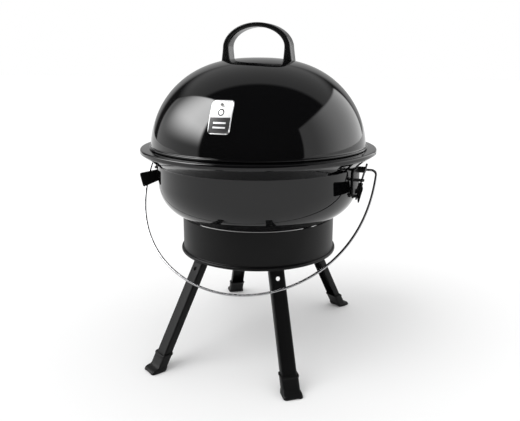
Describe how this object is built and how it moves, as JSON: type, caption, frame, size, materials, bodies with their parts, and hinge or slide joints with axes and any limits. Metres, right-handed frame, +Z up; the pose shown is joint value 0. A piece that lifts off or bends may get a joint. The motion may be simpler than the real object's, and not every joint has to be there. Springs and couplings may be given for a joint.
{
  "type": "kettle charcoal grill",
  "caption": "Portable kettle charcoal grill: enamelled bowl and lift-off domed lid on a ring stand with four splayed legs, with a swinging wire bail, side latches, grates and dampers.",
  "frame": {"origin": "on the floor, under the middle of the bowl", "axes": "+Z up along the bowl's axis; the front, with the badge, is -Y; +X is to the right along the lid handle and the bail's pivots"},
  "size_m": [0.3618, 0.352, 0.487],
  "materials": {
    "black_enamel": "gloss porcelain enamel",
    "grey_enamel": "gloss dark grey porcelain enamel",
    "satin_black": "satin black paint",
    "black_plastic": "matt moulded black",
    "bright_steel": "bright plated steel",
    "dark_wire": "dark steel wire",
    "aluminium": "plain aluminium sheet",
    "silver_badge": "silver and black printed plate"
  },
  "bodies": {
    "base": {"bowl": "grey_enamel", "rim_ring": "grey_enamel", "ring_stand": "satin_black", "leg_front_left": "satin_black", "foot_front_left": "black_plastic", "leg_screw_front_left": "bright_steel", "leg_front_right": "satin_black", "foot_front_right": "black_plastic", "leg_screw_front_right": "bright_steel", "leg_back_right": "satin_black", "foot_back_right": "black_plastic", "leg_screw_back_right": "bright_steel", "leg_back_left": "satin_black", "foot_back_left": "black_plastic", "leg_screw_back_left": "bright_steel", "side_bracket_left": "satin_black", "latch_wire_left": "dark_wire", "bracket_rivet_left_1": "bright_steel", "bracket_rivet_left_2": "bright_steel", "side_bracket_right": "satin_black", "latch_wire_right": "dark_wire", "bracket_rivet_right_1": "bright_steel", "bracket_rivet_right_2": "bright_steel", "grate_support_1": "bright_steel", "grate_support_2": "bright_steel", "grate_support_3": "bright_steel", "bottom_damper_rivet": "bright_steel"},
    "lid": {"lid": "black_enamel", "lid_handle": "black_plastic", "handle_screw_left": "bright_steel", "handle_screw_right": "bright_steel", "badge": "silver_badge", "badge_rivet": "bright_steel", "lid_damper_rivet": "bright_steel"},
    "lid_damper": {"lid_damper": "aluminium"},
    "bottom_damper": {"bottom_damper": "aluminium"},
    "cooking_grate": {"cooking_grate": "bright_steel"},
    "charcoal_grate": {"charcoal_grate": "dark_wire"},
    "bail": {"bail": "bright_steel"},
    "latch_paddle_left": {"latch_paddle_left": "satin_black"},
    "latch_paddle_right": {"latch_paddle_right": "satin_black"}
  },
  "joints": [
    {"name": "lid_lift", "type": "slide", "parent": "base", "child": "lid", "axis": [0, 0, 1], "range_m": [0, 0.25]},
    {"name": "lid_damper_turn", "type": "hinge", "parent": "lid", "child": "lid_damper", "pos_m": [0, 0.104, 0.41213], "axis": [0, 0.565, 0.8251], "range_deg": [0, 60]},
    {"name": "bottom_damper_turn", "type": "hinge", "parent": "base", "child": "bottom_damper", "pos_m": [0, 0, 0.181], "axis": [0, 0, 1], "range_deg": [0, 60]},
    {"name": "cooking_grate_lift", "type": "slide", "parent": "base", "child": "cooking_grate", "axis": [0, 0, 1], "range_m": [0, 0.024]},
    {"name": "charcoal_grate_lift", "type": "slide", "parent": "base", "child": "charcoal_grate", "axis": [0, 0, 1], "range_m": [0, 0.03]},
    {"name": "bail_swing", "type": "hinge", "parent": "base", "child": "bail", "pos_m": [0, 0, 0.282], "axis": [-1, 0, 0], "range_deg": [0, 284]},
    {"name": "latch_paddle_left_turn", "type": "hinge", "parent": "base", "child": "latch_paddle_left", "pos_m": [-0.1588, -0.022, 0.259], "axis": [-0.2419, 0, 0.9703], "range_deg": [-45, 15]},
    {"name": "latch_paddle_right_turn", "type": "hinge", "parent": "base", "child": "latch_paddle_right", "pos_m": [0.1588, -0.022, 0.259], "axis": [0.2419, 0, 0.9703], "range_deg": [-12, 48]}
  ]
}
